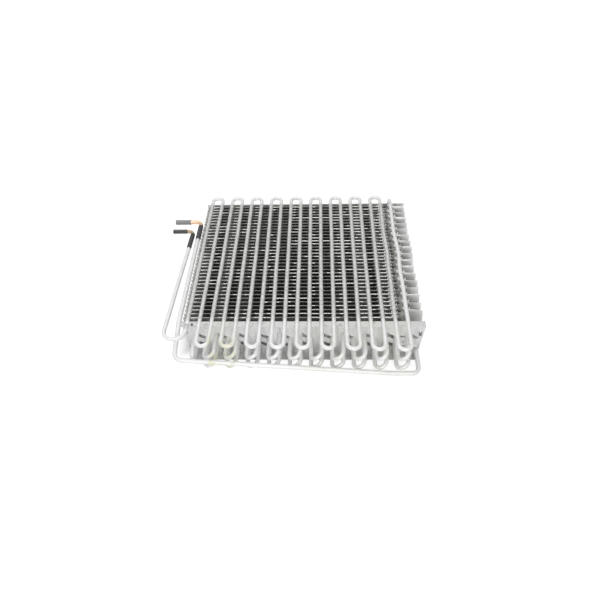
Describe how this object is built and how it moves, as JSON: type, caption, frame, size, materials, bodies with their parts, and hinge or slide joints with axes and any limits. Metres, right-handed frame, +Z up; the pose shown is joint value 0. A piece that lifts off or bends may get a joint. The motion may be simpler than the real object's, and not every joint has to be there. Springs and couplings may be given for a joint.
{
  "type": "refrigerator evaporator",
  "caption": "Fin-and-tube refrigerator evaporator: aluminium fins between two folded end plates, serpentine tube coils, and inlet and suction lines with capped copper ends.",
  "frame": {"origin": "under the middle of the whole part, on the surface that it rests on", "axes": "+X to the right along the end plates, away from the capped line ends; +Y from the front end plate, where the long return bends stand out, to the rear one; +Z up, from the feet of the end plates to the top coil"},
  "size_m": [0.5184, 0.4645, 0.0915],
  "materials": {
    "tube_aluminium": "satin drawn tube",
    "fin_aluminium": "mill-finish foil",
    "plate_aluminium": "mill-finish sheet",
    "copper": "bright copper tube",
    "black_sleeve": "semi-matt shrink sleeve",
    "grey_cap": "soft plastic",
    "black_cap": "glossy plastic"
  },
  "bodies": {
    "root": {"front_end_plate": "plate_aluminium", "rear_end_plate": "plate_aluminium", "fin_01": "fin_aluminium", "fin_02": "fin_aluminium", "fin_03": "fin_aluminium", "fin_04": "fin_aluminium", "fin_05": "fin_aluminium", "fin_06": "fin_aluminium", "fin_07": "fin_aluminium", "fin_08": "fin_aluminium", "fin_09": "fin_aluminium", "fin_10": "fin_aluminium", "fin_11": "fin_aluminium", "fin_12": "fin_aluminium", "fin_13": "fin_aluminium", "fin_14": "fin_aluminium", "fin_15": "fin_aluminium", "fin_16": "fin_aluminium", "fin_17": "fin_aluminium", "fin_18": "fin_aluminium", "fin_19": "fin_aluminium", "fin_20": "fin_aluminium", "fin_21": "fin_aluminium", "fin_22": "fin_aluminium", "fin_23": "fin_aluminium", "fin_24": "fin_aluminium", "fin_25": "fin_aluminium", "fin_26": "fin_aluminium", "fin_27": "fin_aluminium", "fin_28": "fin_aluminium", "fin_29": "fin_aluminium", "fin_30": "fin_aluminium", "fin_31": "fin_aluminium", "fin_32": "fin_aluminium", "fin_33": "fin_aluminium", "fin_34": "fin_aluminium", "fin_35": "fin_aluminium", "top_coil": "tube_aluminium", "rear_crossover_bend": "tube_aluminium", "upper_row_coil": "tube_aluminium", "front_crossover_bend": "tube_aluminium", "lower_row_coil": "tube_aluminium", "inlet_line": "tube_aluminium", "inlet_copper_elbow": "copper", "inlet_sleeve": "black_sleeve", "inlet_cap": "black_cap", "suction_line": "tube_aluminium", "suction_copper_elbow": "copper", "suction_sleeve": "black_sleeve", "suction_cap": "grey_cap"}
  },
  "joints": []
}
